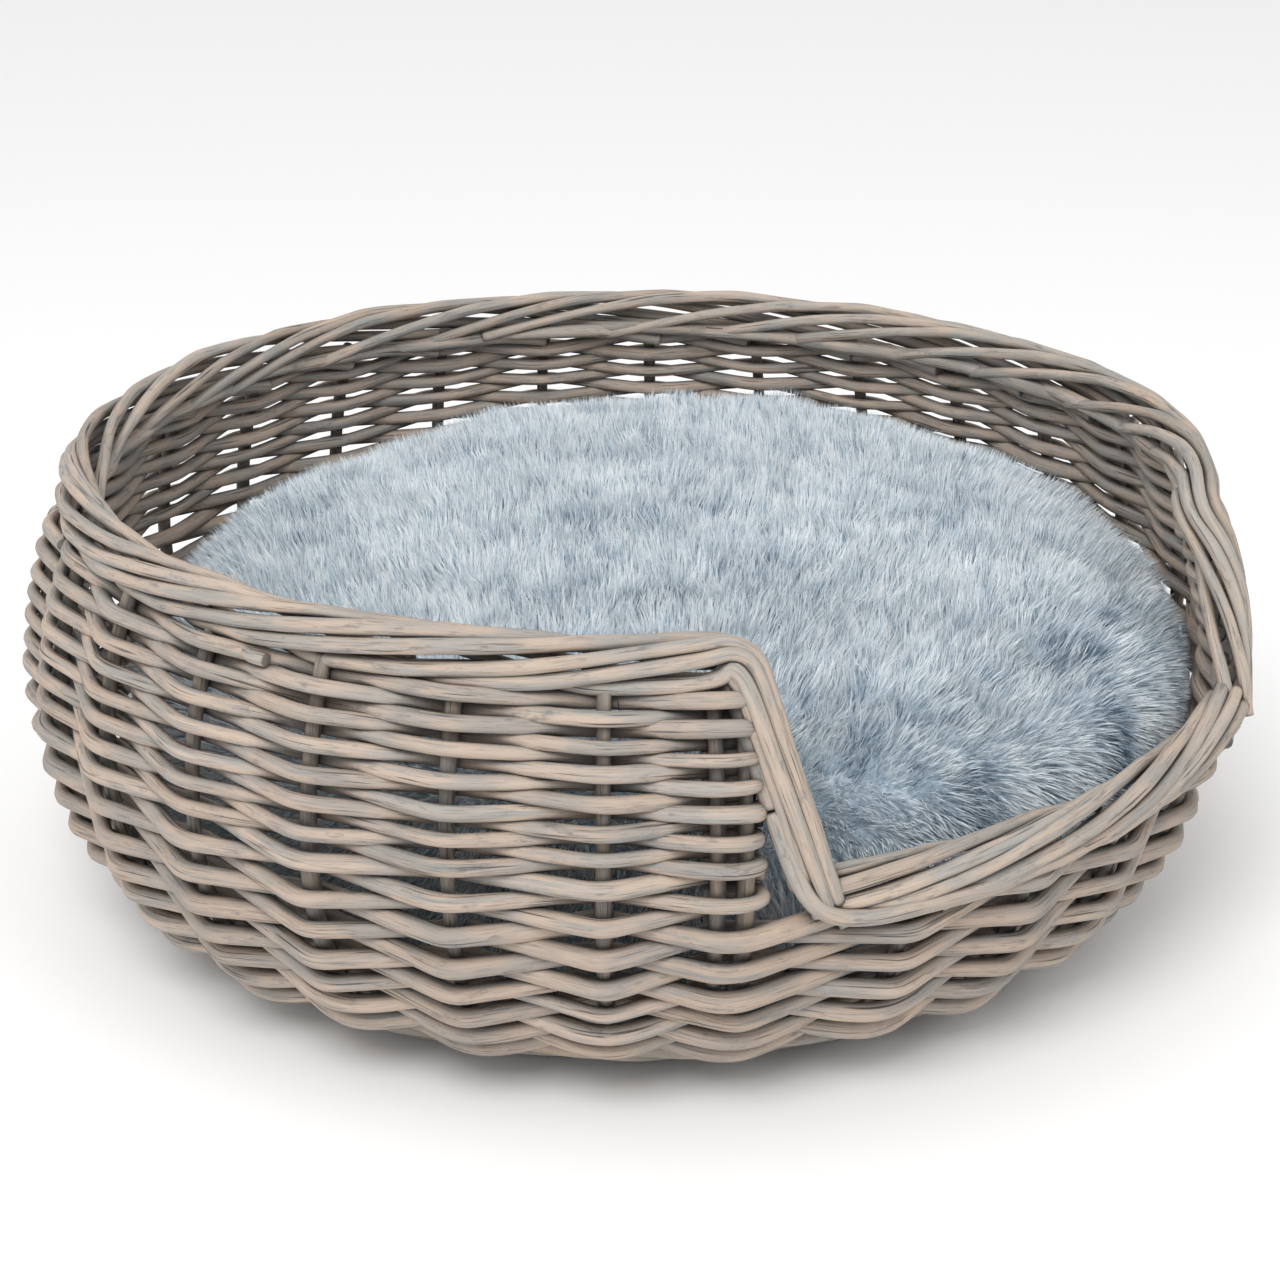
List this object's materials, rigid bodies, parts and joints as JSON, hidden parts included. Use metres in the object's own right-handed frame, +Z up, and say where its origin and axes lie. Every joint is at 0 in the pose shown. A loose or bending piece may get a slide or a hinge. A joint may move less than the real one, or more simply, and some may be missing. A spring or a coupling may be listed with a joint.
{
  "type": "wicker pet bed",
  "caption": "Round bulging willow pet basket with a cut-down entrance, plaited borders and a loose domed faux-fur cushion",
  "frame": {"origin": "on the floor under the middle of the basket", "axes": "+Z up, the cut-down entrance faces -Y, +X to the right seen from the entrance"},
  "size_m": [0.4996, 0.4988, 0.1895],
  "materials": {
    "willow_weave": "grey-washed peeled willow, matt",
    "willow_border": "grey-washed peeled willow, matt, rubbed light on the high spots",
    "willow_stake": "grey-washed willow, darker and dirtier in the gaps",
    "fur": "short straight blue-grey faux fur pile",
    "lining": "plain grey woven polyester lining",
    "wadding": "white fibre wadding"
  },
  "bodies": {
    "basket": {"lower_weaver_01": "willow_weave", "lower_weaver_02": "willow_weave", "lower_weaver_03": "willow_weave", "lower_weaver_04": "willow_weave", "lower_weaver_05": "willow_weave", "lower_weaver_06": "willow_weave", "lower_weaver_07": "willow_weave", "lower_weaver_08": "willow_weave", "lower_weaver_09": "willow_weave", "lower_weaver_10": "willow_weave", "lower_weaver_11": "willow_weave", "middle_weaver_1": "willow_weave", "middle_weaver_2": "willow_weave", "middle_weaver_3": "willow_weave", "upper_weaver_01": "willow_weave", "upper_weaver_02": "willow_weave", "upper_weaver_03": "willow_weave", "upper_weaver_04": "willow_weave", "upper_weaver_05": "willow_weave", "upper_weaver_06": "willow_weave", "upper_weaver_07": "willow_weave", "upper_weaver_08": "willow_weave", "upper_weaver_09": "willow_weave", "upper_weaver_10": "willow_weave", "upper_weaver_11": "willow_weave", "upper_weaver_12": "willow_weave", "upper_weaver_13": "willow_weave", "rim_rod_1": "willow_border", "rim_rod_2": "willow_border", "rim_rod_3": "willow_border", "rim_rod_4": "willow_border", "entrance_rod_1": "willow_border", "entrance_rod_2": "willow_border", "entrance_rod_3": "willow_border", "entrance_rod_4": "willow_border", "foot_rod_1": "willow_border", "foot_rod_2": "willow_border", "foot_rod_3": "willow_border", "upsett_rod_1": "willow_border", "upsett_rod_2": "willow_border", "upsett_rod_3": "willow_border", "side_stakes": "willow_stake", "entrance_stakes": "willow_stake", "corner_posts": "willow_stake", "pierced_base_sticks": "willow_stake", "through_base_sticks": "willow_stake", "inner_base_weave": "willow_weave", "outer_base_weave": "willow_weave"},
    "cushion": {"fur_cover": "fur", "lining_cover": "lining", "cushion_filling": "wadding"}
  },
  "joints": [
    {"name": "cushion_lift", "type": "slide", "parent": "basket", "child": "cushion", "axis": [0, 0, 1], "range_m": [0, 0.22]}
  ]
}
